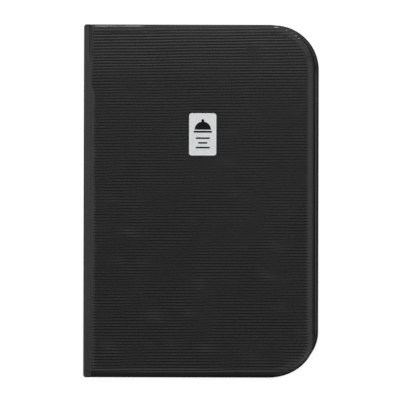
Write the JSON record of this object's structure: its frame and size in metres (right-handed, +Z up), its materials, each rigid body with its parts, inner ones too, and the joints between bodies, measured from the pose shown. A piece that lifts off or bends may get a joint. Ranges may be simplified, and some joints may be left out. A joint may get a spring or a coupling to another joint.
{
  "type": "menu cover",
  "caption": "Bi-fold A4 menu cover: padded ribbed leatherette covers on a soft spine, a metal plate on the front and a clear insert with two pockets inside",
  "frame": {"origin": "middle of the closed cover's outline, on the flat face that it lies on", "axes": "+Z up through the covers, +Y along the spine to the top of the page, +X from the spine to the fore edge"},
  "size_m": [0.23, 0.345, 0.0119],
  "materials": {
    "leatherette": "satin",
    "lining": "matte",
    "greyboard": "matte",
    "foam": "matte",
    "plate_metal": "satin",
    "plate_inlay": "gloss",
    "adhesive": "matte",
    "clear_film": "gloss"
  },
  "bodies": {
    "back_cover": {"back_board": "greyboard", "back_foam": "foam", "back_lining": "lining", "back_skin": "leatherette"},
    "spine": {"spine_skin": "leatherette", "spine_stiffener": "greyboard", "spine_lining": "lining", "insert_tape": "adhesive", "back_hinge_skin": "leatherette", "back_hinge_lining": "lining", "front_hinge_skin": "leatherette", "front_hinge_lining": "lining", "insert_spine_strip": "clear_film"},
    "front_cover": {"front_board": "greyboard", "front_foam": "foam", "front_lining": "lining", "front_skin": "leatherette", "emblem_plate": "plate_metal", "plate_inlay": "plate_inlay", "plate_adhesive": "adhesive"},
    "front_pocket": {"front_pocket_inner_film": "clear_film", "front_pocket_outer_film": "clear_film", "front_pocket_spine_weld": "clear_film", "front_pocket_fore_weld": "clear_film", "front_pocket_foot_weld": "clear_film"},
    "back_pocket": {"back_pocket_inner_film": "clear_film", "back_pocket_outer_film": "clear_film", "back_pocket_spine_weld": "clear_film", "back_pocket_fore_weld": "clear_film", "back_pocket_foot_weld": "clear_film"}
  },
  "joints": [
    {"name": "back_hinge", "type": "hinge", "parent": "back_cover", "child": "spine", "pos_m": [-0.1138, 0, 0.0019], "axis": [0, -1, 0], "range_deg": [0, 90], "deforming": ["back_hinge_skin", "back_hinge_lining"]},
    {"name": "front_hinge", "type": "hinge", "parent": "spine", "child": "front_cover", "pos_m": [-0.1138, 0, 0.0091], "axis": [0, -1, 0], "range_deg": [0, 90], "deforming": ["front_hinge_skin", "front_hinge_lining"]},
    {"name": "front_pocket_turn", "type": "hinge", "parent": "spine", "child": "front_pocket", "pos_m": [-0.11344, 0, 0.00874], "axis": [0, -1, 0], "range_deg": [0, 90], "deforming": ["insert_spine_strip"]},
    {"name": "back_pocket_turn", "type": "hinge", "parent": "spine", "child": "back_pocket", "pos_m": [-0.11344, 0, 0.00226], "axis": [0, -1, 0], "range_deg": [-90, 0]}
  ],
  "couplings": [
    {"joint": "front_pocket_turn", "follows": "front_hinge", "ratio": 1},
    {"joint": "back_pocket_turn", "follows": "back_hinge", "ratio": -1}
  ]
}
